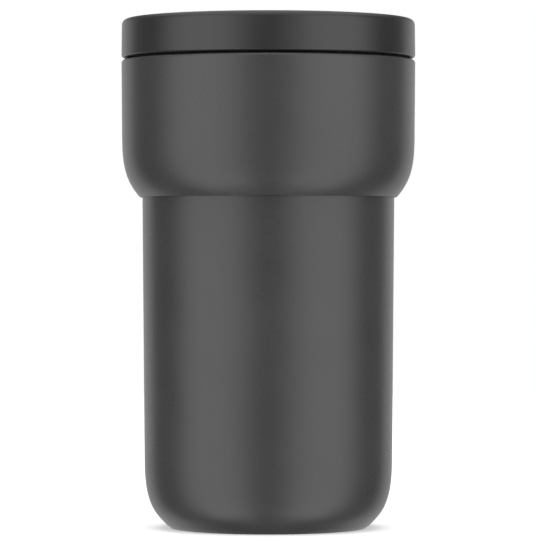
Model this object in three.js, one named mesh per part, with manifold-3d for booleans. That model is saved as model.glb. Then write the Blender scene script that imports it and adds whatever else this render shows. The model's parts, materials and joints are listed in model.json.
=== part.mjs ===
// Insulated travel mug: a double-walled steel cup with a stepped shoulder, closed by a
// screw-on lid whose push button opens a round valve, so that it can be drunk from on every side.
//
// Millimetres, +Z up. The origin is the centre of the ring that the mug stands on.
// Every turned piece is an outline of (radius, height) points, listed anticlockwise.
// In the names below, an R is a radius from the axis and a Z is a height above the foot.

import * as THREE from "three";
import { mergeVertices } from "three/addons/utils/BufferGeometryUtils.js";
import Module from "manifold-3d";

const wasm = await Module();
wasm.setup();

// ---------------------------------------------------------------- driving dimensions

const HEIGHT = 140; // whole mug, lid closed
const RIM_R = 40.45; // where lid and mug meet, the widest place
const LID_H = 10.65; // visible height of the lid
const LID_GAP = 0.5; // slot between lid and mug
const RIM_ROUND = 1.0; // round on the mug's rim, under that slot
const SHEET = 0.5; // steel sheet of every mug wall
const FIT = 0.25; // gap between pieces beside each other
const TOUCH = 0.1; // gap between pieces that rest on each other

const MOUTH_Z = HEIGHT - LID_H - LID_GAP;

// ---------------------------------------------------------------- sizes of the mug

// A drawn curve leaves a wall at (r, z), heads straight down for drop, and ends at (endR, endZ),
// coming in along a line of length lead that is tilted from upright by tilt degrees.
const SHOULDER = { r: 40.29, z: 110, drop: 8.0, endR: 35.35, endZ: 91, lead: 7.24, tilt: 42.6 };
const HEEL = { r: 34.1, z: 18.6, drop: 13.76, endR: 27.15, endZ: 0, lead: 4.65, tilt: 40.6 };

const HEM = 0.25; // thickness of the shoulder's trimmed edge
const SLEEVE = { topR: 34.68, lap: 3.2 };
const FOOT = { innerR: 25.0, foldZ: 3.0, edge: 0.4 };

const DIMPLE = { r: 4.2, topR: 3.4, depth: 1.5, pinholeR: 0.6 };
const BEAD = { r: 3.2, height: 1.3 };
const COVER = { setBack: 0.6, panelR: 17.8, panelRise: 0.4, sheet: 0.6, rimH: 1.3, bend: 0.3 };
const GETTER_PELLET = { r: 4.5, height: 1.8, offset: 14 };
const WRAP = { r: 30.75, sheet: 0.2, bottomZ: 24, topZ: 88 };

const LINER = {
  boreR: 30.1, // below the shoulder
  mouthR: 36.4, // in the neck
  floorZ: 8.0, // lowest point of the drink space
  floorFlatR: 20,
  floorLeadR: 26.5,
  floorLeadZ: 12,
  boreZ: 20,
  seamZ: 21, // where bowl and tube are welded
  flareZ: 95,
  flareRound: 14,
  neckZ: 104,
  neckRound: 10,
  lipRound: 0.6,
};

const THREAD = { starts: 3, lead: 12, halfRoot: 0.9, halfCrest: 0.4, play: 1.3, step: 10 };
const LINER_THREAD = { crestR: 35.3, bottomZ: 119.0, sweep: 150 };
const PLUG_THREAD = { crestR: 35.9, delay: 68, sweep: 100 };

// ---------------------------------------------------------------- sizes of the lid

const PLUG = {
  outerR: 34.6,
  innerR: 33.0,
  flangeR: 38.5,
  flangeH: 0.7,
  topZ: MOUTH_Z + 2.3,
  seatZ: 118.0,
  seatR: 25.0,
  seatH: 1.4, // thickness of the seat's inner edge
  funnelR: 31.6, // foot of the slope from the seat up to the wall
  funnelH: 2.2,
  funnelTopH: 3.4,
  edge: 0.6,
};

const RING = {
  wallR: 39.0, // bore of the outer wall
  edgeRound: 0.75, // on the lower edge, over the slot
  lipR: 38.0, // inner edge of the drinking lip
  lipRound: 1.7,
  lipInnerRound: 0.6,
  draft: 0.12,
  channelR: 37.6,
  channelRound: 1.6,
  ledgeR: 34.2, // inner edge of the channel's floor
  ledgeH: 1.1,
  fall: 0.2, // of the channel's floor, towards the middle
};

const HUB = { outerR: 8.4, boreR: 6.85, bottomZ: 118.6, topZ: 132.2, floor: 2.4, holeR: 2.9 };
const SEAL_POCKET = { r: 4.5, height: 1.3 };
const SPOKE = { count: 4, width: 1.8, bottomZ: 119.0, topZ: 125.0, bury: 0.7 };
const BUSH = { boreR: 5.35, height: 0.75, spigot: 0.75 };
const SLEEVE_LINING = { boreR: 6.25, collarR: 6.4, collarH: 1.2, toothShare: 0.8 };

const BUTTON = {
  r: 31.2,
  topZ: HEIGHT - 0.4,
  skirtZ: 133.0,
  wall: 1.5,
  dish: 0.9,
  bend: 0.55, // how far the top has dipped halfway down the dish
  dishR: 22.7,
  shelfR: 26.2,
  edge: 1.0,
  skirtEdge: 0.5,
  socketR: 5.3,
  socketWallR: 6.8,
  socketZ: 136.7,
};

const STEM = { r: 2.4, collarR: 3.8, collarH: 0.75, bottomZ: 113.0, topZ: 136.4 };
const PLUNGER = { r: 5.1, topZ: 137.0 };
const CROWN = { teeth: 6, height: 0.8, clearance: 0.15 };
const ROTOR = { r: 5.0, boreR: 2.7, bodyH: 2.0, fins: 3, finR: 5.95, finWidth: 1.2, finH: 1.8 };
const SPRING = { meanR: 4.3, wireR: 0.25, turns: 4, bottomZ: 121.1, topZ: 127.1 };

const VALVE = { r: 26.5, topZ: 117.2, bottomZ: 115.1, thickR: 20.0, rimR: 21.5, rimRise: 0.6 };
const LIP = { grip: 1.1, bodyR: 1.3, reach: 1.6, topR: 0.9, lowZ: 0.4, taper: 0.3, shoulder: 0.2 };
const NUT = { r: 6.9, bottomZ: 112.0, edge: 0.7, capH: 0.8, lobes: 6, scoopR: 1.7, scoopAt: 7.9 };
const GASKET = { innerR: 34.9, keelR: 36.0, outerR: 37.6, rise: 0.4, edge: 0.4 };

// ---------------------------------------------------------------- facets

const ROUND = 48; // round the pieces that show from outside
const INNER_ROUND = 36; // round the large pieces inside
const SMALL_ROUND = 24; // round the pieces inside the hub
const CURVE_STEPS = 6; // along a drawn curve that shows
const HIDDEN_STEPS = 4; // along one that doesn't

// ---------------------------------------------------------------- materials

const finish = (color, roughness, metalness) =>
  new THREE.MeshStandardMaterial({ color, roughness, metalness });

const COAT = finish(0x343434, 0.3, 0);
const LID_PLASTIC = finish(0x252525, 0.3, 0);
const STEEL = finish(0xb9bbbd, 0.3, 1);
const FOIL = finish(0xb8734a, 0.35, 1);
const SPRING_STEEL = finish(0xc8c9cb, 0.25, 1);
const SILICONE = finish(0x161616, 0.65, 0);
const ACETAL = finish(0xd9d8d3, 0.4, 0);
const GETTER = finish(0x6b6a68, 0.8, 0.3);
const SOLDER_GLASS = finish(0x4d4540, 0.2, 0);

// ---------------------------------------------------------------- shape helpers

const at = (r, z) => new THREE.Vector2(r, z);
const radians = THREE.MathUtils.degToRad;
const polar = (r, angle, z) => [r * Math.cos(angle), r * Math.sin(angle), z];

// An outline's points. A corner [r, z, radius] is rounded to that radius; [r, z] stays sharp.
function rounded(corners, steps = 2) {
  return corners.flatMap(([r, z, radius], i) => {
    const corner = at(r, z);
    if (!radius) return [corner];
    const before = at(...corners.at(i - 1)).sub(corner).normalize();
    const after = at(...corners[(i + 1) % corners.length]).sub(corner).normalize();
    const half = before.angleTo(after) / 2;
    const inward = before.clone().add(after).normalize();
    const centre = corner.clone().addScaledVector(inward, radius / Math.sin(half));
    const reach = radius / Math.tan(half);
    const angleOf = (side) => corner.clone().addScaledVector(side, reach).sub(centre).angle();
    const hollow = before.cross(after) > 0;
    const arc = [centre.x, centre.y, radius, radius, angleOf(before), angleOf(after), hollow];
    return new THREE.EllipseCurve(...arc).getPoints(steps);
  });
}

// A drawn curve's points from the top down. An inset moves it into the wall by that much.
function sweepDown(c, inset = 0, steps = CURVE_STEPS) {
  const tilt = radians(c.tilt);
  const start = at(c.r - inset, c.z);
  const end = at(c.endR - inset * Math.cos(tilt), c.endZ + inset * Math.sin(tilt));
  const leaving = at(start.x, c.z - c.drop);
  const arriving = at(end.x + c.lead * Math.sin(tilt), end.y + c.lead * Math.cos(tilt));
  return new THREE.CubicBezierCurve(start, leaving, arriving, end).getPoints(steps);
}

// Turns an outline about Z. An outline that doesn't start and end on the axis is closed.
function turned(points, segments = ROUND) {
  const onAxis = points[0].x === 0 && points.at(-1).x === 0;
  const loop = onAxis ? points : [...points, points[0].clone()];
  return new THREE.LatheGeometry(loop, segments).rotateX(Math.PI / 2);
}

const tube = (innerR, outerR, bottomZ, topZ, segments = SMALL_ROUND) =>
  turned([at(outerR, bottomZ), at(outerR, topZ), at(innerR, topZ), at(innerR, bottomZ)], segments);

function solidOf(geometry) {
  const bare = new THREE.BufferGeometry();
  bare.setAttribute("position", geometry.getAttribute("position"));
  bare.setIndex(geometry.index);
  const merged = mergeVertices(bare, 1e-3);
  return new wasm.Manifold(
    new wasm.Mesh({
      numProp: 3,
      vertProperties: new Float32Array(merged.attributes.position.array),
      triVerts: new Uint32Array(merged.index.array),
    }),
  );
}

function geometryOf(solid) {
  const mesh = solid.getMesh();
  const geometry = new THREE.BufferGeometry();
  geometry.setAttribute("position", new THREE.BufferAttribute(mesh.vertProperties, 3));
  geometry.setIndex(new THREE.BufferAttribute(mesh.triVerts, 1));
  return geometry;
}

const joined = (geometries) =>
  geometryOf(geometries.map(solidOf).reduce((whole, piece) => whole.add(piece)));

const cut = (geometry, cutters) =>
  geometryOf(cutters.map(solidOf).reduce((rest, tool) => rest.subtract(tool), solidOf(geometry)));

// Copies of a geometry at even turns about Z, the first one turned by a share of a step.
const around = (count, make, share = 0) =>
  Array.from({ length: count }, (_, k) => make().rotateZ(((k + share) / count) * 2 * Math.PI));

// A closed mesh through sections of equal length, each a loop of [x, y, z] points.
// A ring joins its last section to its first; otherwise both ends get a flat cap.
function skin(sections, isRing) {
  const loop = sections[0].length;
  const index = [];
  const last = isRing ? sections.length : sections.length - 1;
  for (let s = 0; s < last; s++) {
    const here = s * loop;
    const next = ((s + 1) % sections.length) * loop;
    for (let k = 0; k < loop; k++) {
      const j = (k + 1) % loop;
      index.push(here + k, here + j, next + j, here + k, next + j, next + k);
    }
  }
  if (!isRing) {
    const end = (sections.length - 1) * loop;
    for (let k = 1; k < loop - 1; k++) {
      index.push(0, k + 1, k, end, end + k, end + k + 1);
    }
  }
  const geometry = new THREE.BufferGeometry();
  geometry.setAttribute("position", new THREE.Float32BufferAttribute(sections.flat(2), 3));
  geometry.setIndex(index);
  return geometry;
}

// A right-hand thread ridge from inside its wall at rootR to crestR, fading in and out.
function threadRidge({ rootR, crestR, bottomZ, startDeg, sweep }) {
  const count = Math.round(sweep / THREAD.step);
  const fadeSteps = 3;
  const least = 0.1;
  const sections = [];
  for (let i = 0; i <= count; i++) {
    const angle = radians(startDeg + i * THREAD.step);
    const z = bottomZ + (THREAD.lead * i * THREAD.step) / 360;
    const fade = Math.min(1, least + Math.min(i, count - i) / fadeSteps);
    const crest = rootR + (crestR - rootR) * fade;
    const section = [
      polar(rootR, angle, z - THREAD.halfRoot),
      polar(crest, angle, z - THREAD.halfCrest),
      polar(crest, angle, z + THREAD.halfCrest),
      polar(rootR, angle, z + THREAD.halfRoot),
    ];
    sections.push(crestR > rootR ? section.reverse() : section);
  }
  return skin(sections, false);
}

function threadRidges(options) {
  const between = 360 / THREAD.starts;
  return Array.from({ length: THREAD.starts }, (_, k) =>
    threadRidge({ ...options, startDeg: options.startDeg + k * between }),
  );
}

// A tube whose lower and upper edges are functions of the angle.
function wavyTube(innerR, outerR, low, high) {
  const sections = [];
  for (let i = 0; i < SMALL_ROUND; i++) {
    const angle = (i / SMALL_ROUND) * 2 * Math.PI;
    sections.push([
      polar(innerR, angle, low(angle)),
      polar(innerR, angle, high(angle)),
      polar(outerR, angle, high(angle)),
      polar(outerR, angle, low(angle)),
    ]);
  }
  return skin(sections, true);
}

// The rise of a crown's zigzag edge at an angle, from 0 to CROWN.height.
function zigzag(angle) {
  const share = ((angle / (2 * Math.PI)) * CROWN.teeth) % 1;
  return CROWN.height * (1 - Math.abs(2 * share - 1));
}

// ---------------------------------------------------------------- the mug

// Wide painted band: rounded rim, upright wall, shoulder that sweeps in to the step.
function upperShell() {
  const rim = [
    [SHOULDER.r, SHOULDER.z],
    [RIM_R, MOUTH_Z, RIM_ROUND],
    [RIM_R - 2 * SHEET, MOUTH_Z],
  ];
  const inside = [
    at(RIM_R - 2 * SHEET, MOUTH_Z - SHEET),
    at(RIM_R - SHEET, MOUTH_Z - 2 * SHEET),
    ...sweepDown(SHOULDER, SHEET, HIDDEN_STEPS).slice(0, -1),
    at(SHOULDER.endR - HEM, SHOULDER.endZ + HEM),
    at(SHOULDER.endR - HEM, SHOULDER.endZ),
  ];
  return turned([...sweepDown(SHOULDER).reverse(), ...rounded(rim).slice(1), ...inside]);
}

// Narrow painted sleeve: laps up inside the shoulder, tapers down and turns under at the heel.
function lowerShell() {
  const topZ = SHOULDER.endZ + SLEEVE.lap;
  const outside = [
    at(FOOT.innerR, FOOT.edge),
    at(FOOT.innerR + FOOT.edge, 0),
    ...sweepDown(HEEL).reverse(),
    at(SLEEVE.topR, SHOULDER.endZ),
    at(SLEEVE.topR, topZ),
  ];
  const inside = [
    at(SLEEVE.topR - SHEET, topZ),
    at(SLEEVE.topR - SHEET, SHOULDER.endZ),
    ...sweepDown(HEEL, SHEET, HIDDEN_STEPS),
    at(FOOT.innerR + SHEET, FOOT.foldZ),
    at(FOOT.innerR, FOOT.foldZ),
  ];
  return turned([...outside, ...inside]);
}

// Base plate welded inside the foot, with the dimple and pinhole the space is pumped out through.
function shellBase() {
  const r = FOOT.innerR - FIT;
  const z = FOOT.foldZ - SHEET;
  return turned(
    [
      at(DIMPLE.pinholeR, z + DIMPLE.depth),
      at(DIMPLE.topR, z + DIMPLE.depth),
      at(DIMPLE.r, z),
      at(r, z),
      at(r, z + SHEET),
      at(DIMPLE.r + SHEET, z + SHEET),
      at(DIMPLE.topR + SHEET, z + SHEET + DIMPLE.depth),
      at(DIMPLE.pinholeR, z + SHEET + DIMPLE.depth),
    ],
    SMALL_ROUND,
  );
}

// Bead of solder glass that closes the pinhole from below.
function vacuumSeal() {
  const topZ = FOOT.foldZ - SHEET + DIMPLE.depth - TOUCH;
  const bulge = new THREE.EllipseCurve(0, topZ, BEAD.r, BEAD.height, -Math.PI / 2, 0);
  return turned([...bulge.getPoints(HIDDEN_STEPS), at(0, topZ)], SMALL_ROUND);
}

// Disc that hides the bead, stepped up in the middle and set back from the foot ring.
function baseCover() {
  const r = FOOT.innerR - FIT;
  const rimZ = COVER.setBack;
  const panelZ = rimZ + COVER.panelRise;
  return turned(
    [
      at(0, panelZ),
      at(COVER.panelR - COVER.bend, panelZ),
      at(COVER.panelR + COVER.bend, rimZ),
      at(r - COVER.bend, rimZ),
      at(r, rimZ + COVER.bend),
      at(r, rimZ + COVER.rimH),
      at(COVER.panelR + 2 * COVER.bend, rimZ + COVER.rimH),
      at(COVER.panelR, panelZ + COVER.sheet),
      at(0, panelZ + COVER.sheet),
    ],
    INNER_ROUND,
  );
}

// Pellet that soaks up stray gas in the vacuum.
const getter = () =>
  new THREE.CylinderGeometry(GETTER_PELLET.r, GETTER_PELLET.r, GETTER_PELLET.height, SMALL_ROUND)
    .rotateX(Math.PI / 2)
    .translate(0, 0, GETTER_PELLET.height / 2);

// Copper foil wrapped round the liner.
const reflectiveFoil = () =>
  tube(WRAP.r, WRAP.r + WRAP.sheet, WRAP.bottomZ, WRAP.topZ, INNER_ROUND);

// One face of the liner's floor, from the axis to the bore. The outer face is out beyond the inner.
function linerFloor(out) {
  const low = LINER.floorZ - out;
  const corner = new THREE.CubicBezierCurve(
    at(LINER.floorFlatR, low),
    at(LINER.floorLeadR + out, low),
    at(LINER.boreR + out, LINER.floorLeadZ - out),
    at(LINER.boreR + out, LINER.boreZ - out),
  );
  return [at(0, low), ...corner.getPoints(HIDDEN_STEPS), at(LINER.boreR + out, LINER.seamZ)];
}

// Pressed bowl that closes the bottom of the drink space, welded to the liner along its rim.
const linerBase = () => turned([...linerFloor(SHEET), ...linerFloor(0).reverse()], INNER_ROUND);

// Drawn tube that holds the drink: straight bore, flared neck with a rolled thread, and a flat
// lip that reaches out to the rim of the band.
function innerLiner() {
  const lipR = RIM_R - 2 * SHEET - FIT;
  const wall = (out) => [
    [LINER.boreR + out, LINER.seamZ + TOUCH / 2],
    [LINER.boreR + out, LINER.flareZ, LINER.flareRound],
    [LINER.mouthR + out, LINER.neckZ, LINER.neckRound],
  ];
  const outerLip = [
    [LINER.mouthR + SHEET, MOUTH_Z - SHEET],
    [lipR, MOUTH_Z - SHEET],
  ];
  const innerLip = [
    [LINER.mouthR, MOUTH_Z, LINER.lipRound],
    [lipR, MOUTH_Z],
  ];
  const outside = rounded([...wall(SHEET), ...outerLip]);
  const inside = rounded([...wall(0), ...innerLip]);
  const ridges = threadRidges({
    rootR: LINER.mouthR + SHEET / 2,
    crestR: LINER_THREAD.crestR,
    bottomZ: LINER_THREAD.bottomZ,
    startDeg: 0,
    sweep: LINER_THREAD.sweep,
  });
  return joined([turned([...outside, ...inside.reverse()], INNER_ROUND), ...ridges]);
}

// ---------------------------------------------------------------- the lid

// Outer moulding: the band that shows from the side, the drinking lip and the channel behind it.
function lidRim() {
  const bottomZ = MOUTH_Z + LID_GAP;
  const floorZ = PLUG.topZ + 2 * TOUCH;
  const ledgeZ = floorZ + RING.ledgeH;
  return turned(
    rounded([
      [RING.wallR, bottomZ],
      [RIM_R, bottomZ, RING.edgeRound],
      [RIM_R - RING.draft, HEIGHT, RING.lipRound],
      [RING.lipR, HEIGHT, RING.lipInnerRound],
      [RING.channelR, ledgeZ + RING.fall, RING.channelRound],
      [RING.ledgeR, ledgeZ],
      [RING.ledgeR, floorZ],
      [RING.wallR, floorZ],
    ]),
  );
}

// Threaded wall of the inner moulding, with the flange above it and the valve's seat below.
function plugWall() {
  const flangeZ = PLUG.topZ - PLUG.flangeH;
  return turned(
    [
      at(PLUG.seatR, PLUG.seatZ),
      at(PLUG.outerR - PLUG.edge, PLUG.seatZ),
      at(PLUG.outerR, PLUG.seatZ + PLUG.edge),
      at(PLUG.outerR, flangeZ),
      at(PLUG.flangeR, flangeZ),
      at(PLUG.flangeR, PLUG.topZ),
      at(PLUG.innerR, PLUG.topZ),
      at(PLUG.innerR, PLUG.seatZ + PLUG.funnelTopH),
      at(PLUG.funnelR, PLUG.seatZ + PLUG.funnelH),
      at(PLUG.seatR, PLUG.seatZ + PLUG.seatH),
    ],
    INNER_ROUND,
  );
}

// Tube in the middle of the inner moulding: click mechanism above its floor, seal pocket below.
function plugHub() {
  const floorZ = HUB.bottomZ + HUB.floor;
  const pocketZ = HUB.bottomZ + SEAL_POCKET.height;
  return turned(
    [
      at(SEAL_POCKET.r, HUB.bottomZ),
      at(HUB.outerR, HUB.bottomZ),
      at(HUB.outerR, HUB.topZ),
      at(HUB.boreR, HUB.topZ),
      at(HUB.boreR, floorZ),
      at(HUB.holeR, floorZ),
      at(HUB.holeR, pocketZ),
      at(SEAL_POCKET.r, pocketZ),
    ],
    SMALL_ROUND,
  );
}

// Inner moulding: threaded wall and hub, joined by spokes.
function lidPlug() {
  const from = HUB.outerR - SPOKE.bury;
  const length = PLUG.innerR + SPOKE.bury - from;
  const height = SPOKE.topZ - SPOKE.bottomZ;
  const spokes = around(SPOKE.count, () =>
    new THREE.BoxGeometry(length, SPOKE.width, height).translate(
      from + length / 2,
      0,
      SPOKE.bottomZ + height / 2,
    ),
  );
  const ridges = threadRidges({
    rootR: PLUG.outerR - PLUG.edge,
    crestR: PLUG_THREAD.crestR,
    bottomZ: LINER_THREAD.bottomZ - THREAD.play + (THREAD.lead * PLUG_THREAD.delay) / 360,
    startDeg: PLUG_THREAD.delay,
    sweep: PLUG_THREAD.sweep,
  });
  return joined([plugWall(), plugHub(), ...spokes, ...ridges]);
}

// Silicone ring under the lid's flange, pressed on the liner's lip.
function neckGasket() {
  const bottomZ = MOUTH_Z + TOUCH / 2;
  const topZ = PLUG.topZ - PLUG.flangeH - TOUCH;
  return turned(
    rounded([
      [GASKET.innerR, bottomZ + GASKET.rise],
      [GASKET.keelR, bottomZ],
      [GASKET.outerR, bottomZ, GASKET.edge],
      [GASKET.outerR, topZ],
      [GASKET.innerR, topZ],
    ]),
    INNER_ROUND,
  );
}

// Cap of the button: dished top, outer skirt, and a socket underneath for the plunger.
function pushButton() {
  const underZ = BUTTON.topZ - BUTTON.wall;
  const skirt = [
    [BUTTON.r - BUTTON.wall, BUTTON.skirtZ],
    [BUTTON.r, BUTTON.skirtZ, BUTTON.skirtEdge],
    [BUTTON.r, BUTTON.topZ, BUTTON.edge],
    [BUTTON.shelfR, BUTTON.topZ],
  ];
  return turned([
    at(0, underZ - BUTTON.dish),
    at(BUTTON.socketR, underZ - BUTTON.dish),
    at(BUTTON.socketR, BUTTON.socketZ),
    at(BUTTON.socketWallR, BUTTON.socketZ),
    at(BUTTON.socketWallR, underZ - BUTTON.dish),
    at(BUTTON.dishR, underZ - BUTTON.bend),
    at(BUTTON.r - BUTTON.wall, underZ),
    ...rounded(skirt),
    at(BUTTON.dishR, BUTTON.topZ - BUTTON.bend),
    at(0, BUTTON.topZ - BUTTON.dish),
  ]);
}

// Plunger of the click mechanism, with a crown of teeth at its foot.
function buttonPlunger() {
  const rotorTopZ = SPRING.topZ + TOUCH + ROTOR.bodyH + CROWN.height;
  return wavyTube(
    STEM.r + 2 * TOUCH,
    PLUNGER.r,
    (angle) => rotorTopZ + CROWN.clearance + zigzag(angle),
    () => PLUNGER.topZ,
  );
}

// Bush in the top of the hub that guides the plunger.
function hubCap() {
  const spigotR = HUB.boreR - TOUCH;
  const headZ = HUB.topZ + TOUCH / 2;
  return turned(
    [
      at(BUSH.boreR, headZ - BUSH.spigot),
      at(spigotR, headZ - BUSH.spigot),
      at(spigotR, headZ),
      at(HUB.outerR, headZ),
      at(HUB.outerR, headZ + BUSH.height),
      at(BUSH.boreR, headZ + BUSH.height),
    ],
    SMALL_ROUND,
  );
}

// Sleeve lining the hub; its toothed collar stops and turns the rotor.
function guideSleeve() {
  const outerR = HUB.boreR - TOUCH;
  const bottomZ = HUB.bottomZ + HUB.floor + TOUCH;
  const topZ = HUB.topZ - BUSH.spigot - TOUCH / 2;
  const collar = wavyTube(
    BUSH.boreR,
    SLEEVE_LINING.collarR,
    (angle) => topZ - SLEEVE_LINING.collarH + zigzag(angle) * SLEEVE_LINING.toothShare,
    () => topZ,
  );
  return joined([tube(SLEEVE_LINING.boreR, outerR, bottomZ, topZ), collar]);
}

// Rotor that turns a sixth of a turn at each press, with three fins and an upper crown.
function clickRotor() {
  const bottomZ = SPRING.topZ + TOUCH;
  const shoulderZ = bottomZ + ROTOR.bodyH;
  const crown = wavyTube(
    ROTOR.boreR,
    ROTOR.r,
    () => bottomZ,
    (angle) => shoulderZ + zigzag(angle),
  );
  const fins = around(ROTOR.fins, () =>
    new THREE.BoxGeometry(ROTOR.finWidth, ROTOR.finWidth, ROTOR.finH).translate(
      ROTOR.finR - ROTOR.finWidth / 2,
      0,
      (bottomZ + shoulderZ) / 2,
    ),
  );
  return joined([crown, ...fins]);
}

// Compression spring that lifts the rotor, stem and button, and pulls the valve shut.
function returnSpring() {
  const rise = SPRING.topZ - SPRING.bottomZ - 2 * SPRING.wireR;
  class Coil extends THREE.Curve {
    getPoint(t) {
      const angle = 2 * Math.PI * SPRING.turns * t;
      const z = SPRING.bottomZ + SPRING.wireR + rise * t;
      return new THREE.Vector3(...polar(SPRING.meanR, angle, z));
    }
  }
  const wire = new THREE.Shape().absarc(0, 0, SPRING.wireR, 0, 2 * Math.PI);
  const stepsPerTurn = 12;
  return new THREE.ExtrudeGeometry(wire, {
    extrudePath: new Coil(),
    steps: stepsPerTurn * SPRING.turns,
    curveSegments: 3,
  });
}

// Rod from the plunger down to the valve, with the collar that the valve hangs on.
function valveStem() {
  const collarZ = VALVE.topZ + TOUCH / 2;
  return turned(
    [
      at(0, STEM.bottomZ),
      at(STEM.r, STEM.bottomZ),
      at(STEM.r, collarZ),
      at(STEM.collarR, collarZ),
      at(STEM.collarR, collarZ + STEM.collarH),
      at(STEM.r, collarZ + STEM.collarH),
      at(STEM.r, STEM.topZ),
      at(0, STEM.topZ),
    ],
    SMALL_ROUND,
  );
}

// Lip seal that keeps the drink out of the hub.
const stemSeal = () =>
  tube(
    STEM.r + TOUCH,
    SEAL_POCKET.r - TOUCH,
    HUB.bottomZ + TOUCH,
    HUB.bottomZ + SEAL_POCKET.height - TOUCH,
  );

// Round valve plate, stiffened in the middle.
function valveDisc() {
  const boreR = STEM.r + 2 * TOUCH;
  const rimZ = VALVE.bottomZ + VALVE.rimRise;
  return turned(
    [
      at(boreR, VALVE.bottomZ),
      at(VALVE.thickR, VALVE.bottomZ),
      at(VALVE.rimR, rimZ),
      at(VALVE.r, rimZ),
      at(VALVE.r, VALVE.topZ),
      at(boreR, VALVE.topZ),
    ],
    INNER_ROUND,
  );
}

// Silicone ring stretched over the edge of the valve plate, closing against the seat.
function valveSeal() {
  const innerR = VALVE.r + TOUCH;
  const lowZ = VALVE.bottomZ + LIP.lowZ;
  const sealZ = PLUG.seatZ - TOUCH;
  return turned(
    [
      at(innerR, lowZ),
      at(VALVE.r + LIP.bodyR, lowZ + LIP.taper),
      at(VALVE.r + LIP.reach, VALVE.topZ - LIP.shoulder),
      at(VALVE.r + LIP.topR, sealZ),
      at(VALVE.r - LIP.grip, sealZ),
      at(VALVE.r - LIP.grip, VALVE.topZ + TOUCH),
      at(innerR, VALVE.topZ + TOUCH),
    ],
    INNER_ROUND,
  );
}

// Lobed nut that holds the valve plate on the stem and comes off by hand for cleaning.
function valveNut() {
  const boreR = STEM.r + 2 * TOUCH;
  const topZ = VALVE.bottomZ - TOUCH;
  const height = topZ - NUT.bottomZ;
  const body = turned(
    [
      at(0, NUT.bottomZ),
      at(NUT.r - NUT.edge, NUT.bottomZ),
      at(NUT.r, NUT.bottomZ + NUT.edge),
      at(NUT.r, topZ),
      at(boreR, topZ),
      at(boreR, NUT.bottomZ + NUT.capH),
      at(0, NUT.bottomZ + NUT.capH),
    ],
    SMALL_ROUND,
  );
  const scoopFacets = 12;
  const scoops = around(
    NUT.lobes,
    () =>
      new THREE.CylinderGeometry(NUT.scoopR, NUT.scoopR, 2 * height, scoopFacets)
        .rotateX(Math.PI / 2)
        .translate(NUT.scoopAt, 0, NUT.bottomZ + height / 2),
    0.5,
  );
  return cut(body, scoops);
}

// ---------------------------------------------------------------- assembly

function add(parent, name, geometry, material) {
  const mesh = new THREE.Mesh(geometry, material);
  mesh.name = name;
  parent.add(mesh);
  return mesh;
}

const mug = new THREE.Group();
add(mug, "upper_shell", upperShell(), COAT);
add(mug, "lower_shell", lowerShell(), COAT);
add(mug, "shell_base", shellBase(), STEEL);
add(mug, "vacuum_seal", vacuumSeal(), SOLDER_GLASS);
add(mug, "base_cover", baseCover(), STEEL);
add(mug, "getter", getter(), GETTER).position.set(GETTER_PELLET.offset, 0, FOOT.foldZ + TOUCH);
add(mug, "reflective_foil", reflectiveFoil(), FOIL);
add(mug, "liner_base", linerBase(), STEEL);
add(mug, "inner_liner", innerLiner(), STEEL);

const lid = new THREE.Group();
add(lid, "lid_rim", lidRim(), LID_PLASTIC);
add(lid, "lid_plug", lidPlug(), LID_PLASTIC);
add(lid, "neck_gasket", neckGasket(), SILICONE);
add(lid, "hub_cap", hubCap(), ACETAL);
add(lid, "guide_sleeve", guideSleeve(), ACETAL);
add(lid, "stem_seal", stemSeal(), SILICONE);
add(lid, "return_spring", returnSpring(), SPRING_STEEL);

const clicker = new THREE.Group();
add(clicker, "push_button", pushButton(), LID_PLASTIC);
add(clicker, "button_plunger", buttonPlunger(), ACETAL);
add(clicker, "click_rotor", clickRotor(), ACETAL);
add(clicker, "valve_stem", valveStem(), ACETAL);
add(clicker, "valve_disc", valveDisc(), LID_PLASTIC);
add(clicker, "valve_seal", valveSeal(), SILICONE);
add(clicker, "valve_nut", valveNut(), LID_PLASTIC);

lid.add(clicker);
const assembly = new THREE.Group();
assembly.add(mug, lid);

export default assembly;
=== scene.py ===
"""The looks of an insulated travel mug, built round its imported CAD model.

Every visible piece is turned or swept again in fine mesh, in the place of its CAD node.
Outlines are in millimetres as (radius, height) points, listed anticlockwise. Meshes are in metres.
"""

import json
import math

import bpy
from mathutils import Matrix, Vector


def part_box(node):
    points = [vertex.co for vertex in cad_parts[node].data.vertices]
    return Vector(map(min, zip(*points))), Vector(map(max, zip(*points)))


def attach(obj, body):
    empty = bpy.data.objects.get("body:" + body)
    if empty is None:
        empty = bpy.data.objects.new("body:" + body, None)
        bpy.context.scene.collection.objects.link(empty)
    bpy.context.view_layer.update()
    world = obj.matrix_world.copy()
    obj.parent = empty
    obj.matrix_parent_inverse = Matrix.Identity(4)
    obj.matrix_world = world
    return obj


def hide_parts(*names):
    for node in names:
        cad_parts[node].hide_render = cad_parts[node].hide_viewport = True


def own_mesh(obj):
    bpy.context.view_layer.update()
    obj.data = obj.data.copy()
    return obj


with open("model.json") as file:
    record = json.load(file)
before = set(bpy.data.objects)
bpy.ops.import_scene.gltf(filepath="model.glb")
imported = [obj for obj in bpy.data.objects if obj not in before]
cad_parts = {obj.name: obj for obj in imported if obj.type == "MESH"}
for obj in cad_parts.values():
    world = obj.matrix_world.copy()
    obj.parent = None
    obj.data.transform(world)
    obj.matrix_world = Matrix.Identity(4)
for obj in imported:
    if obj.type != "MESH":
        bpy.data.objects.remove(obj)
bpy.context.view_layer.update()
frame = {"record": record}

MM = 0.001
FULL_TURN = 2 * math.pi

# ---------------------------------------------------------------- sizes of the mug
# In millimetres. An r is a radius from the axis, and a z is a height above the foot. These are
# the sizes inside each piece; its outer radius and its ends come from the box of its CAD node.

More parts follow.
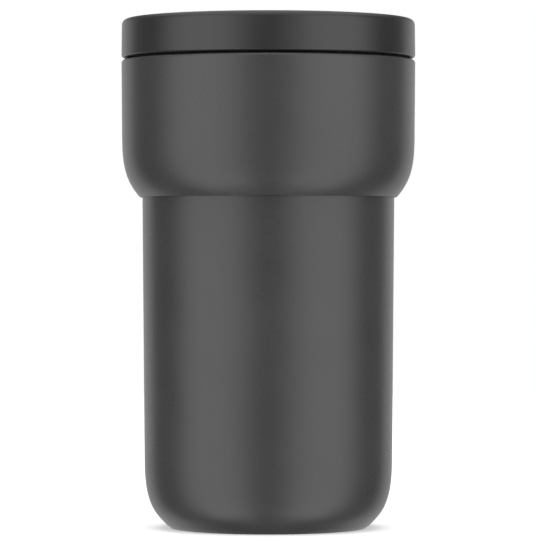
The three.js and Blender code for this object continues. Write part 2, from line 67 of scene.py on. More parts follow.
SHEET = 0.5  # steel sheet of every mug wall
FIT = 0.25  # gap between pieces beside each other
HEM = 0.25  # thickness of the shoulder's trimmed edge
HEM_ROUND = 0.08
RIM_ROUND = 1.0  # round on the rim, under the slot

# A drawn curve leaves a wall at (r, z), heads straight down for drop, and ends at end_r, coming
# in along a line of length lead that is tilted from upright by tilt degrees.
SHOULDER = {"r": 40.29, "z": 110.0, "drop": 8.0, "end_r": 35.35, "lead": 7.24, "tilt": 42.6}
HEEL = {"r": 34.1, "z": 18.6, "drop": 13.76, "end_r": 27.15, "lead": 4.65, "tilt": 40.6}
FOOT = {"round": 0.6, "tuck": 0.55, "inner_round": 0.35}

DIMPLE = {"r": 4.2, "top_r": 3.4, "pinhole_r": 0.6, "round": 0.4}
COVER = {"panel_r": 17.8, "rise": 0.4, "drop": 0.3, "bend": 0.3, "round": 0.3}
PELLET_EDGE = 0.4
BEAD_BELLY = 0.6  # how far out the bead stays low, as a share of its radius
# A wave of the foil is a number of crests round it, and a slant in radians a millimetre.
FOIL = {"sheet": 0.1, "crinkle": 0.05, "row": 2, "waves": ((23, 0.4), (9, -0.31))}

LINER = {
    "bore_r": 30.1,
    "mouth_r": 36.4,
    "flat_r": 20.0,  # flat middle of the floor
    "lead_r": 26.5,
    "lead_rise": 4.0,
    "bore_rise": 12.0,  # from the floor to the straight bore
    "flare_z": 95.0,
    "flare_round": 14.0,
    "neck_z": 104.0,
    "neck_round": 10.0,
    "lip_round": 0.6,
}

THREAD = {"starts": 3, "lead": 12.0, "half_root": 0.9, "half_crest": 0.4, "fade": 25.0, "play": 1.3}
LINER_THREAD = {"bottom": 119.0, "start": 0, "sweep": 150, "height": 1.1}
PLUG_THREAD_START = 68  # degrees on from the liner's
PLUG_THREAD = {
    "bottom": LINER_THREAD["bottom"] - THREAD["play"] + THREAD["lead"] * PLUG_THREAD_START / 360,
    "start": PLUG_THREAD_START,
    "sweep": 100,
    "height": 1.3,
}
THREAD_ROW = 0.25  # height of the rows of facets that a thread is raised from

# ---------------------------------------------------------------- sizes of the lid

FLANGE_RISE = 2.3  # top of the inner moulding's flange over the mouth of the mug

RING = {
    "wall_r": 39.0,  # bore of the outer wall
    "foot_round": 0.2,
    "edge_round": 0.75,  # on the lower edge, over the slot
    "draft": 0.12,
    "lip_r": 38.0,  # inner edge of the drinking lip
    "lip_round": 1.7,
    "lip_inner_round": 0.6,
    "channel_r": 37.6,
    "channel_round": 1.6,
    "floor_gap": 0.2,  # over the flange
    "ledge_r": 34.2,  # inner edge of the channel's floor
    "ledge_h": 1.1,
    "ledge_round": 0.25,
    "fall": 0.2,  # of the channel's floor, towards the middle
}

PLUG = {
    "outer_r": 34.6,
    "inner_r": 33.0,
    "flange_h": 0.7,
    "flange_edge": 0.2,
    "seat_r": 25.0,
    "seat_h": 1.4,  # thickness of the seat's inner edge
    "seat_round": 0.3,
    "funnel_r": 31.6,  # foot of the slope from the seat up to the wall
    "funnel_h": 2.2,
    "funnel_top_h": 3.4,
    "funnel_round": 0.6,
    "funnel_top_round": 1.0,
    "edge": 0.6,
}

HUB = {
    "r": 8.4,
    "bore_r": 6.85,
    "low": 118.6,
    "high": 132.2,
    "floor": 2.4,
    "hole_r": 2.9,
    "edge": 0.15,
    "foot_round": 0.4,
    "floor_round": 0.3,
}
SEAL_POCKET = {"r": 4.5, "height": 1.3}
SPOKE = {
    "count": 4,
    "width": 1.8,
    "low": 119.0,
    "high": 125.0,
    "bury": 0.7,  # how far its ends run into the hub and the wall
    "waist": 3.0,
    "lead": 8.0,
    "edge": 0.25,
}
GASKET = {"inner_r": 34.9, "lips_r": (35.5, 37.0), "lip_h": 0.3, "lip_half": 0.4, "round": 0.12}
BUSH = {
    "bore_r": 5.35,
    "spigot_r": 6.75,
    "spigot_h": 0.75,
    "edge": 0.1,
    "rim_round": 0.3,
    "bore_round": 0.2,
}
LINING = {"bore_r": 6.25, "collar_r": 6.4, "collar_h": 1.2, "tooth_share": 0.8}
STEM_SEAL = {"lip_r": 2.5, "relief_r": 3.0, "relief": 0.3, "edge": 0.1}
STEM = {"r": 2.4, "collar_h": 0.75, "collar_gap": 0.05, "edge": 0.2}
STEM_HOLE_R = 2.6  # in the plunger, the valve plate and the nut
HOLE_EDGE = 0.1  # of that hole, in the plate and the nut
BROKEN_EDGE = 0.12  # of a plain tube, and of a fin

BUTTON = {
    "wall": 1.5,
    "dish": 0.9,
    "land_r": 28.6,  # where the flat land round the dish ends
    "dish_lead_r": 23.2,
    "dish_trail_r": 22.2,
    "dish_floor_r": 14.2,
    "under_r": 22.7,
    "under_dip": 0.55,
    "under_round": 2,
    "edge": 1.0,
    "skirt_edge": 0.5,
    "skirt_inner_edge": 0.2,
    "skirt_root_round": 0.6,
    "socket_root_round": 0.3,
    "socket_r": 5.3,
    "socket_wall_r": 6.8,
    "socket_z": 136.7,
    "gate_r": 1.6,  # mark of the moulding gate in the middle
    "gate_depth": 0.06,
    "gate_slope": 0.2,
}

CROWN = {"teeth": 6, "height": 0.8}
ROTOR = {"r": 5.0, "bore_r": 2.7}
FIN = {"count": 3, "root_r": 4.75, "r": 5.95, "low": 0.15, "high": 1.6, "root_high": 1.95, "width": 1.2}
SPRING = {"wire_r": 0.25, "turns": 4, "steps": 40, "ease": 0.65}

VALVE = {"thick_r": 20.0, "rim_r": 21.5, "rim_rise": 0.6, "round": 0.5}
LIP = {
    "gap": 0.15,
    "grip": 1.1,
    "roof": 0.1,
    "taper": 0.3,
    "slope": 0.9,
    "top_in": 0.7,
    "round": 0.4,
    "foot_edge": 0.1,
    "top_round": 0.3,
    "grip_round": 0.2,
}
NUT = {
    "cap_h": 0.8,
    "edge": 0.8,
    "top_edge": 0.2,
    "lobes": 6,
    "core_r": 4.0,
    "scoop": 0.7,
    "scoop_level": 0.5,  # with the swing, how wide a scoop is
    "scoop_swing": 0.9,
    "row": 1.2,
}

# ---------------------------------------------------------------- facets

ROUND = 256  # round the pieces that show most
INNER_ROUND = 192  # round the large pieces inside
SMALL_ROUND = 96  # round the pieces inside the hub and the small ones under the foot
SHARP_ANGLE = 40  # degrees; sharper edges aren't smoothed over
SLEEVE_ROW = 12  # mm, the tallest row of facets on the sleeve
ON_WALL = 0.01  # mm; a point this near the wall is on it

CURVE_STEPS = 16  # along a free curve
SWEEP_STEPS = 24  # down the shoulder or the heel
DISH_STEPS = 20
WIRE_SIDES = 12
BEVEL_STEPS = 3
# Steps round a corner of an outline.
CORNER = 8
LID_CORNER = 10
NECK_CORNER = 12
VALVE_CORNER = 6
SMALL_CORNER = 5
HUB_CORNER = 4
EDGE_CORNER = 3

# ---------------------------------------------------------------- the studio

PICTURE_HEIGHT = 550  # pixels, the long side of the picture
FOCAL_PIXELS = 3738
CAMERA_PLACE = Vector((-0.0001, -1.03, 0.074))
CAMERA_TARGET = Vector((-0.0001, 0, 0.0696))
SENSOR = 36.0  # mm

# Brightness that the mug sees round it. Azimuths are degrees from the camera's side.
FRONT_LIGHT = 0.18
BANK_LIGHT = 1.68  # a tall bank of light at each side
BANK_RISE = (0, 41)
BANK_FALL = (67, 102)
BACKDROP_LIGHT = 0.5
BACKDROP_RISE = (125, 138)
CEILING_LIGHT = 1.2
BOUNCE_LIGHT = 0.1  # off the table
# Where each fades, as heights of its direction, from -1 straight down to 1 straight up.
BANK_TOP = (0.25, 1.0)
BACKDROP_TOP = (0.1, 0.4)
BACKDROP_FOOT = (-0.95, -0.6)
CEILING_EDGE = (0.5, 0.85)
BOUNCE_EDGE = (-0.7, -0.2)
DARK_BELOW = (-1.0, -0.8)
DOWN_SHARE = 0.3  # of the light, left straight below

TOP_LIGHT = 3.5  # brightness of the lamp overhead
TOP_SIZE = 1.1  # metres
TOP_HEIGHT = 1.1  # metres
FLOOR_TONE = 0.55
FLOOR_GLOW = 0.45  # the floor is a light table
FLOOR_SIZE = 2.0  # metres

# ---------------------------------------------------------------- outlines


def span(node):
    """A round CAD node's outer radius, lowest height and highest height, in millimetres."""
    low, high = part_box(node)
    return high.x / MM, low.z / MM, high.z / MM


def arc(centre, radius, start, sweep, steps):
    """Points on a circle round centre, from the angle start through the angle sweep."""
    angles = [start + sweep * i / steps for i in range(steps + 1)]
    return [(centre[0] + radius * math.cos(a), centre[1] + radius * math.sin(a)) for a in angles]


def rounded(corners, steps=CORNER):
    """The outline's points. A corner (r, z, radius) is rounded to that radius; (r, z) stays sharp."""
    points = []
    for i, corner in enumerate(corners):
        here = Vector(corner[:2])
        if len(corner) == 2:
            points.append(tuple(here))
            continue
        before = (Vector(corners[i - 1][:2]) - here).normalized()
        after = (Vector(corners[(i + 1) % len(corners)][:2]) - here).normalized()
        half = before.angle(after) / 2
        centre = here + (before + after).normalized() * corner[2] / math.sin(half)
        reach = corner[2] / math.tan(half)
        first = here + before * reach - centre
        turn = (here + after * reach - centre).angle_signed(first)
        points += arc(centre, corner[2], math.atan2(first.y, first.x), turn, steps)
    return points


def bezier(a, b, c, d, steps=CURVE_STEPS):
    """Points on a cubic curve from a to d."""
    points = []
    for i in range(steps + 1):
        t = i / steps
        weights = ((1 - t) ** 3, 3 * t * (1 - t) ** 2, 3 * t * t * (1 - t), t**3)
        points.append(tuple(sum(w * p[k] for w, p in zip(weights, (a, b, c, d))) for k in (0, 1)))
    return points


def sweep_down(curve, end_z, inset=0.0):
    """A drawn steel curve from its wall down to end_z. An inset moves it into the wall."""
    tilt = math.radians(curve["tilt"])
    start = (curve["r"] - inset, curve["z"])
    end = (curve["end_r"] - inset * math.cos(tilt), end_z + inset * math.sin(tilt))
    leaving = (start[0], curve["z"] - curve["drop"])
    arriving = (end[0] + curve["lead"] * math.sin(tilt), end[1] + curve["lead"] * math.cos(tilt))
    return bezier(start, leaving, arriving, end, SWEEP_STEPS)


def divided(points, longest):
    """The same outline with no stretch longer than that."""
    made = [points[0]]
    for a, b in zip(points, points[1:]):
        parts = max(1, math.ceil(math.dist(a, b) / longest))
        shares = [k / parts for k in range(1, parts + 1)]
        made += [(a[0] + (b[0] - a[0]) * t, a[1] + (b[1] - a[1]) * t) for t in shares]
    return made


def tube_outline(inner_r, outer_r, low, high):
    """A plain tube with its edges just broken."""
    corners = [(inner_r, low), (outer_r, low), (outer_r, high), (inner_r, high)]
    return rounded([(r, z, BROKEN_EDGE) for r, z in corners], EDGE_CORNER)


def smooth(x):
    """Eases from 0 to 1 as x goes from 0 to 1."""
    x = max(0.0, min(1.0, x))
    return x * x * (3 - 2 * x)


# ---------------------------------------------------------------- meshes


def new_piece(name, vertices, faces):
    """A smooth-shaded mesh object, with its sharp edges kept."""
    mesh = bpy.data.meshes.new(name)
    mesh.from_pydata(vertices, [], faces)
    mesh.polygons.foreach_set("use_smooth", [True] * len(mesh.polygons))
    mesh.set_sharp_from_angle(angle=math.radians(SHARP_ANGLE))
    piece = bpy.data.objects.new(name, mesh)
    bpy.context.scene.collection.objects.link(piece)
    weighted = piece.modifiers.new("even_shading", "WEIGHTED_NORMAL")
    weighted.keep_sharp = True
    return piece


def turned(name, outline, segments, relief=None):
    """Turns an outline about Z. relief(angle, r, z) gives a point's new radius and height."""
    on_axis = outline[0][0] == 0 and outline[-1][0] == 0
    vertices = []
    rings = []
    for r, z in outline:
        if r == 0:
            rings.append([len(vertices)] * segments)
            vertices.append((0, 0, z * MM))
            continue
        rings.append([len(vertices) + k for k in range(segments)])
        for k in range(segments):
            angle = FULL_TURN * k / segments
            here_r, here_z = relief(angle, r, z) if relief else (r, z)
            vertices.append((here_r * math.cos(angle) * MM, here_r * math.sin(angle) * MM, here_z * MM))
    following = rings[1:] if on_axis else rings[1:] + rings[:1]
    faces = []
    for lower, upper in zip(rings, following):
        for k in range(segments):
            n = (k + 1) % segments
            face = list(dict.fromkeys((lower[k], lower[n], upper[n], upper[k])))
            if len(face) > 2:
                faces.append(face)
    return new_piece(name, vertices, faces)


def swept(name, centres, radius):
    """A round wire through the points centres, which are in metres, with flat ends."""
    vertices = []
    for i, centre in enumerate(centres):
        ahead = centres[min(i + 1, len(centres) - 1)] - centres[max(i - 1, 0)]
        side = Vector((centre.x, centre.y, 0)).normalized()
        up = ahead.cross(side).normalized()
        side = up.cross(ahead).normalized()
        for k in range(WIRE_SIDES):
            angle = FULL_TURN * k / WIRE_SIDES
            vertices.append(centre + (side * math.cos(angle) + up * math.sin(angle)) * radius)
    faces = [list(range(WIRE_SIDES))]
    for i in range(len(centres) - 1):
        ring, following = i * WIRE_SIDES, (i + 1) * WIRE_SIDES
        for k in range(WIRE_SIDES):
            n = (k + 1) % WIRE_SIDES
            faces.append([ring + k, following + k, following + n, ring + n])
    faces.append([len(vertices) - 1 - k for k in range(WIRE_SIDES)])
    return new_piece(name, vertices, faces)


def slab(name, outline, width, edge):
    """An outline of (x, z) points made into a plate of that width along Y, with rounded edges."""
    count = len(outline)
    vertices = [(x * MM, side * width / 2 * MM, z * MM) for side in (-1, 1) for x, z in outline]
    faces = [list(range(count)), [2 * count - 1 - k for k in range(count)]]
    faces += [[k, k + count, (k + 1) % count + count, (k + 1) % count] for k in range(count)]
    piece = new_piece(name, vertices, faces)
    bevel = piece.modifiers.new("broken_edges", "BEVEL")
    bevel.width = edge * MM
    bevel.segments = BEVEL_STEPS
    bevel.limit_method = "ANGLE"
    return piece


def spun(piece, angle):
    """Turns a piece's mesh about Z."""
    piece.data.transform(Matrix.Rotation(angle, 4, "Z"))
    return piece


# ---------------------------------------------------------------- material nodes

# Where most of a noise lies, and most of the sum of two.
ONE_NOISE = (0.3, 0.7)
TWO_NOISES = (0.7, 1.3)


class Nodes:
    """A shader tree. Each call adds a node; all but add() return its first output."""

    def __init__(self, tree):
        self.tree = tree

    def add(self, kind, inputs=None, **settings):
        made = self.tree.nodes.new(kind)
        for key, value in settings.items():
            setattr(made, key, value)
        for socket, value in (inputs or {}).items():
            self.give(made.inputs[socket], value)
        return made

    def give(self, socket, value):
        if isinstance(value, bpy.types.NodeSocket):
            self.tree.links.new(value, socket)
        else:
            socket.default_value = value

    def math(self, operation, a, b=0.0):
        return self.add("ShaderNodeMath", {0: a, 1: b}, operation=operation).outputs[0]

    def ranged(self, value, low, high, out_low=0.0, out_high=1.0, kind="LINEAR"):
        inputs = {"Value": value, "From Min": low, "From Max": high, "To Min": out_low, "To Max": out_high}
        return self.add("ShaderNodeMapRange", inputs, interpolation_type=kind).outputs["Result"]


class Finish(Nodes):
    """A procedural material. Grains and depths are in millimetres."""

    def __init__(self, name, **sockets):
        self.material = bpy.data.materials.new(name)
        self.material.use_nodes = True
        super().__init__(self.material.node_tree)
        self.shader = self.tree.nodes["Principled BSDF"]
        self.place = self.add("ShaderNodeTexCoord").outputs["Object"]
        self.set(**sockets)

    def set(self, **sockets):
        for name, value in sockets.items():
            self.give(self.shader.inputs[name.replace("_", " ")], value)

    def noise(self, grain, detail=2.0, place=None):
        """Noise whose lumps are about grain across."""
        inputs = {"Vector": place or self.place, "Scale": 1 / (grain * MM), "Detail": detail}
        return self.add("ShaderNodeTexNoise", inputs).outputs["Fac"]

    def shade(self, value, dark, light):
        """A colour between dark and light."""
        mix = self.add("ShaderNodeMix", data_type="RGBA")
        self.give(mix.inputs["Factor"], value)
        self.give(mix.inputs["A"], (*dark, 1))
        self.give(mix.inputs["B"], (*light, 1))
        return mix.outputs["Result"]

    def bump(self, height, depth, strength=1.0, under=None):
        """Relief of that depth, over the relief under it."""
        inputs = {"Height": height, "Distance": depth * MM, "Strength": strength}
        if under:
            inputs["Normal"] = under
        return self.add("ShaderNodeBump", inputs).outputs["Normal"]

    def turned_place(self):
        """Coordinates that change only along the outline of a turned piece, as its lathe marks do."""
        parts = self.add("ShaderNodeSeparateXYZ", {"Vector": self.place}).outputs
        flat = self.add("ShaderNodeCombineXYZ", {"X": parts["X"], "Y": parts["Y"]}).outputs[0]
        radius = self.add("ShaderNodeVectorMath", {0: flat}, operation="LENGTH").outputs["Value"]
        return self.add("ShaderNodeCombineXYZ", {"X": radius, "Y": parts["Z"]}).outputs[0]


def grey(level, warmth=0.0):
    return (level * (1 + warmth), level, level * (1 - warmth))


def powder_coat():
    """Satin charcoal powder coat: faint orange peel, with a dusting of lighter grains."""
    f = Finish("powder_coat", Metallic=0.0, Specular_IOR_Level=0.5)
    clouds = f.noise(grain=14, detail=3)
    peel = f.noise(grain=0.9)
    grains = f.noise(grain=0.3, detail=1)
    tone = f.math("ADD", f.math("MULTIPLY", clouds, 0.5), f.math("MULTIPLY", grains, 0.5))
    f.set(Base_Color=f.shade(f.ranged(tone, *ONE_NOISE), grey(0.0305), grey(0.0385)))
    f.set(Roughness=f.ranged(f.math("ADD", peel, clouds), *TWO_NOISES, 0.26, 0.31))
    fine = f.bump(grains, depth=0.004, strength=0.4)
    f.set(Normal=f.bump(peel, depth=0.012, strength=0.2, under=fine))
    return f.material


def moulded_plastic(name, dark, light, rough):
    """Moulded plastic with the fine eroded texture of its tool."""
    f = Finish(name, Metallic=0.0, Specular_IOR_Level=0.5)
    flow = f.noise(grain=18, detail=3)
    erosion = f.noise(grain=0.22)
    f.set(Base_Color=f.shade(f.ranged(f.math("ADD", flow, erosion), *TWO_NOISES), dark, light))
    f.set(Roughness=f.ranged(flow, *ONE_NOISE, rough - 0.025, rough + 0.025))
    f.set(Normal=f.bump(erosion, depth=0.012, strength=0.5))
    return f.material


def spun_steel():
    """Stainless steel with lathe marks running round it, and faint smears across them."""
    rough = 0.24
    tint = 0.01
    f = Finish("spun_steel", Metallic=1.0)
    marks = f.noise(grain=0.12, detail=3, place=f.turned_place())
    bands = f.noise(grain=3, place=f.turned_place())
    smears = f.noise(grain=9, detail=3)
    tone = f.math("ADD", f.math("MULTIPLY", marks, 0.6), f.math("MULTIPLY", bands, 0.4))
    f.set(Base_Color=f.shade(f.ranged(tone, *ONE_NOISE), grey(0.52, tint), grey(0.66, tint)))
    f.set(Roughness=f.ranged(f.math("ADD", marks, smears), *TWO_NOISES, rough - 0.05, rough + 0.08))
    f.set(Normal=f.bump(marks, depth=0.01, strength=0.4))
    return f.material


def silicone():
    """Soft silicone: matt, with a bloom of fine dust."""
    level = 0.012
    f = Finish("silicone", Metallic=0.0, Specular_IOR_Level=0.25, Sheen_Weight=0.05, Sheen_Roughness=0.5)
    dust = f.noise(grain=0.5, detail=4)
    patches = f.noise(grain=6)
    tone = f.ranged(f.math("ADD", dust, patches), 0.75, 1.3)
    f.set(Base_Color=f.shade(tone, grey(level), grey(level * 1.5)))
    f.set(Roughness=f.ranged(patches, *ONE_NOISE, 0.55, 0.68))
    f.set(Normal=f.bump(dust, depth=0.01, strength=0.4))
    return f.material


def drawn_wire():
    """Bright spring wire with scratches of the drawing die."""
    f = Finish("drawn_wire", Metallic=1.0)
    scratches = f.noise(grain=0.06)
    f.set(Base_Color=f.shade(scratches, grey(0.5), grey(0.72)))
    f.set(Roughness=f.ranged(scratches, *ONE_NOISE, 0.18, 0.3))
    return f.material


def crinkled_foil():
    """Thin copper foil, wrapped by hand."""
    f = Finish("copper_foil", Metallic=1.0)
    creases = f.noise(grain=3.5, detail=5)
    tarnish = f.noise(grain=12, detail=3)
    f.set(Base_Color=f.shade(f.ranged(tarnish, 0.35, 0.65), (0.62, 0.3, 0.17), (0.8, 0.45, 0.3)))
    f.set(Roughness=f.ranged(creases, *ONE_NOISE, 0.2, 0.36))
    f.set(Normal=f.bump(creases, depth=0.4, strength=0.7))
    return f.material


def pressed_powder():
    """Pellet pressed from grey metal powder."""
    f = Finish("pressed_powder", Metallic=0.3)
    grains = f.noise(grain=0.25, detail=4)
    f.set(Base_Color=f.shade(grains, grey(0.12, 0.03), grey(0.26, 0.03)))
    f.set(Roughness=f.ranged(grains, *ONE_NOISE, 0.7, 0.9))
    f.set(Normal=f.bump(grains, depth=0.08, strength=0.8))
    return f.material


def fused_glass():
    """Dark solder glass with a skin of small ripples."""
    f = Finish("fused_glass", Metallic=0.0, Coat_Weight=0.6, Coat_Roughness=0.05)
    ripples = f.noise(grain=1.2)
    f.set(Base_Color=f.shade(ripples, (0.05, 0.035, 0.025), (0.11, 0.08, 0.06)))
    f.set(Roughness=f.ranged(ripples, *ONE_NOISE, 0.12, 0.25))
    f.set(Normal=f.bump(ripples, depth=0.1, strength=0.5))
    return f.material


FINISHES = {
    "coating": powder_coat(),
    "lid_plastic": moulded_plastic("lid_plastic", grey(0.013), grey(0.019), rough=0.28),
    "steel": spun_steel(),
    "silicone": silicone(),
    "acetal": moulded_plastic("acetal", (0.66, 0.65, 0.61), (0.76, 0.75, 0.71), rough=0.36),
    "spring_steel": drawn_wire(),
    "foil": crinkled_foil(),
    "getter_alloy": pressed_powder(),
    "solder_glass": fused_glass(),
}


def stand_in(piece, node):
    """The piece takes the CAD node's place, its body and its finish."""
    record = frame["record"]
    slot = next(s["material_slot"] for s in record["subparts"] if s["node"] == node)
    body = next(b for b, nodes in record["behaviour"]["bodies"].items() if node in nodes)
    piece.data.materials.append(FINISHES[slot])
    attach(piece, body)
    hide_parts(node)


# ---------------------------------------------------------------- the mug


def painted_band():
    """Wide upper band: rounded rim, upright wall, shoulder that sweeps in to the step."""
    rim_r, low, high = span("upper_shell")
    step_r = SHOULDER["end_r"]
    outside = rounded(
        [
            (step_r - HEM, low),
            (step_r, low, HEM_ROUND),
            *sweep_down(SHOULDER, low)[::-1][1:],
            (rim_r, high, RIM_ROUND),
            (rim_r - 2 * SHEET, high),
        ]
    )
    inside = [
        (rim_r - 2 * SHEET, high - SHEET),
        (rim_r - SHEET, high - 2 * SHEET),
        *sweep_down(SHOULDER, low, SHEET)[:-1],
        (step_r - HEM, low + HEM),
    ]
    return turned("painted_band", outside + inside, ROUND)


def painted_sleeve():
    """Narrow sleeve: it laps up behind the shoulder, tapers down and turns under at the heel."""
    top_r, low, high = span("lower_shell")
    inner_r = span("base_cover")[0] + FIT
    step = span("upper_shell")[1]
    fold_top = span("shell_base")[1] + SHEET
    edge = FOOT["inner_round"]
    fold = arc((inner_r + edge, low + edge), edge, math.radians(180), math.radians(90), CORNER)
    centre = (HEEL["end_r"] - FOOT["tuck"], low + FOOT["round"])
    heel = arc(centre, FOOT["round"], math.radians(-90), math.radians(45), SMALL_CORNER)
    outside = [*fold, *heel, *sweep_down(HEEL, low)[::-1][2:], (top_r, step), (top_r, high)]
    inside = [
        (top_r - SHEET, high),
        (top_r - SHEET, step),
        *sweep_down(HEEL, low, SHEET),
        (inner_r + SHEET, fold_top),
        (inner_r, fold_top),
    ]
    return turned("painted_sleeve", divided(outside, SLEEVE_ROW) + inside, ROUND)


def thread(angle, z, form):
    """How far a thread stands out of its wall here, in millimetres."""
    height = 0.0
    for k in range(THREAD["starts"]):
        start = math.radians(form["start"]) + FULL_TURN * k / THREAD["starts"]
        along = math.degrees((angle - start) % FULL_TURN)
        if along > form["sweep"]:
            continue
        off = abs(z - form["bottom"] - THREAD["lead"] * along / 360)
        flank = smooth((THREAD["half_root"] - off) / (THREAD["half_root"] - THREAD["half_crest"]))
        fade = smooth(min(along, form["sweep"] - along) / THREAD["fade"])
        height = max(height, flank * fade * form["height"])
    return height


def liner_bowl():
    """Pressed bowl that closes the bottom of the drink space."""
    _, low, high = span("liner_base")

    def face(out):
        wall = LINER["bore_r"] + out
        floor = low + SHEET - out
        corner = bezier(
            (LINER["flat_r"], floor),
            (LINER["lead_r"] + out, floor),
            (wall, floor + LINER["lead_rise"]),
            (wall, floor + LINER["bore_rise"]),
        )
        return [(0, floor), *corner, (wall, high)]

    return turned("liner_bowl", face(SHEET) + face(0)[::-1], INNER_ROUND)


def steel_liner():
    """Drawn tube for the drink: straight bore, flared neck, rolled thread and flat lip."""
    lip_r, low, high = span("inner_liner")
    thread_low = LINER_THREAD["bottom"] - THREAD["half_root"]
    rise = THREAD["lead"] * LINER_THREAD["sweep"] / 360
    thread_high = LINER_THREAD["bottom"] + rise + THREAD["half_root"]

    def wall(out):
        bore = LINER["bore_r"] + out
        mouth = LINER["mouth_r"] + out
        neck = rounded(
            [
                (bore, low),
                (bore, LINER["flare_z"], LINER["flare_round"]),
                (mouth, LINER["neck_z"], LINER["neck_round"]),
                (mouth, thread_low),
            ],
            NECK_CORNER,
        )
        return neck[:-1] + divided([(mouth, thread_low), (mouth, thread_high)], THREAD_ROW)

    def rolled(angle, r, z):
        return r - thread(angle, z, LINER_THREAD), z

    mouth_r = LINER["mouth_r"]
    outside = wall(SHEET) + [(mouth_r + SHEET, high - SHEET), (lip_r, high - SHEET)]
    lip = rounded([(mouth_r, thread_high), (mouth_r, high, LINER["lip_round"]), (lip_r, high)])
    inside = wall(0) + lip[1:]
    return turned("steel_liner", outside + inside[::-1], ROUND, rolled)


def plate_with_dimple():
    """Base plate of the double wall, with the dimple and pinhole it is pumped out through."""
    r, low, high = span("shell_base")
    roof = high - SHEET
    bend = DIMPLE["round"]
    outline = [
        (DIMPLE["pinhole_r"], roof),
        (DIMPLE["top_r"], roof, bend),
        (DIMPLE["r"], low, bend),
        (r, low),
        (r, low + SHEET),
        (DIMPLE["r"] + SHEET, low + SHEET, bend),
        (DIMPLE["top_r"] + SHEET, high, bend),
        (DIMPLE["pinhole_r"], high),
    ]
    return turned("base_plate", rounded(outline, SMALL_CORNER), SMALL_ROUND)


def glass_bead():
    """Bead of solder glass that closes the pinhole from below."""
    r, low, high = span("vacuum_seal")
    bulge = bezier((0, low), (r * BEAD_BELLY, low), (r, (low + high) / 2), (r, high))
    return turned("glass_bead", [*bulge, (0, high)], SMALL_ROUND)


def foot_disc():
    """Disc that hides the bead, stepped up in the middle and set back from the foot ring."""
    r, low, high = span("base_cover")
    inner = COVER["panel_r"] - COVER["bend"]
    outer = COVER["panel_r"] + COVER["bend"]
    panel_low = low + COVER["rise"]
    panel_high = high - COVER["drop"]
    bend = COVER["round"]
    outline = [
        (0, panel_low),
        (inner, panel_low, bend),
        (outer, low, bend),
        (r, low, bend),
        (r, high),
        (outer, high, bend),
        (inner, panel_high, bend),
        (0, panel_high),
    ]
    return turned("foot_disc", rounded(outline, SMALL_CORNER), INNER_ROUND)


def getter_pellet():
    """Pellet that soaks up stray gas in the vacuum."""
    low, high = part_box("getter")
    r = (high.x - low.x) / 2 / MM
    bottom = low.z / MM
    top = high.z / MM
    outline = [(0, bottom), (r, bottom, PELLET_EDGE), (r, top, PELLET_EDGE), (0, top)]
    piece = turned("getter_pellet", rounded(outline, SMALL_CORNER), SMALL_ROUND)
    piece.data.transform(Matrix.Translation(((low.x + high.x) / 2, (low.y + high.y) / 2, 0)))
    return piece


def foil_wrap():
    """Foil round the liner, with soft crinkles."""
    outer, low, high = span("reflective_foil")
    inner = outer - FOIL["sheet"]
    loop = [(inner, low), (outer, low), (outer, high), (inner, high), (inner, low)]

    def crinkled(angle, r, z):
        waves = math.prod(math.sin(crests * angle + slant * z) for crests, slant in FOIL["waves"])
        return r - FOIL["crinkle"] * (1 + waves), z

    return turned("foil_wrap", divided(loop, FOIL["row"])[:-1], INNER_ROUND, crinkled)


# ---------------------------------------------------------------- the lid


def flange_top():
    """Height of the top of the inner moulding's flange."""
    return span("upper_shell")[2] + FLANGE_RISE


def lid_ring():
    """Outer moulding: the band that shows from the side, the drinking lip and the channel."""
    wide_r, low, high = span("lid_rim")
    floor = flange_top() + RING["floor_gap"]
    ledge = floor + RING["ledge_h"]
    outline = [
        (RING["wall_r"], low, RING["foot_round"]),
        (wide_r, low, RING["edge_round"]),
        (wide_r - RING["draft"], high, RING["lip_round"]),
        (RING["lip_r"], high, RING["lip_inner_round"]),
        (RING["channel_r"], ledge + RING["fall"], RING["channel_round"]),
        (RING["ledge_r"], ledge, RING["ledge_round"]),
        (RING["ledge_r"], floor),
        (RING["wall_r"], floor),
    ]
    return turned("lid_ring", rounded(outline, LID_CORNER), ROUND)


def button_cap():
    """Cap of the button: dished top, soft edge, skirt, and a socket for the plunger."""
    r, low, high = span("push_button")
    under = high - BUTTON["wall"]
    dish = high - BUTTON["dish"]
    dish_under = under - BUTTON["dish"]
    skirt_r = r - BUTTON["wall"]
    gate = dish - BUTTON["gate_depth"]
    under_and_side = rounded(
        [
            (0, dish_under),
            (BUTTON["socket_r"], dish_under),
            (BUTTON["socket_r"], BUTTON["socket_z"]),
            (BUTTON["socket_wall_r"], BUTTON["socket_z"]),
            (BUTTON["socket_wall_r"], dish_under, BUTTON["socket_root_round"]),
            (BUTTON["under_r"], under - BUTTON["under_dip"], BUTTON["under_round"]),
            (skirt_r, under, BUTTON["skirt_root_round"]),
            (skirt_r, low, BUTTON["skirt_inner_edge"]),
            (r, low, BUTTON["skirt_edge"]),
            (r, high, BUTTON["edge"]),
        ]
    )
    top = bezier(
        (BUTTON["land_r"], high),
        (BUTTON["dish_lead_r"], high),
        (BUTTON["dish_trail_r"], dish),
        (BUTTON["dish_floor_r"], dish),
        DISH_STEPS,
    )
    middle = [(BUTTON["gate_r"], dish), (BUTTON["gate_r"] - BUTTON["gate_slope"], gate), (0, gate)]
    return turned("button_cap", under_and_side + top + middle, ROUND)


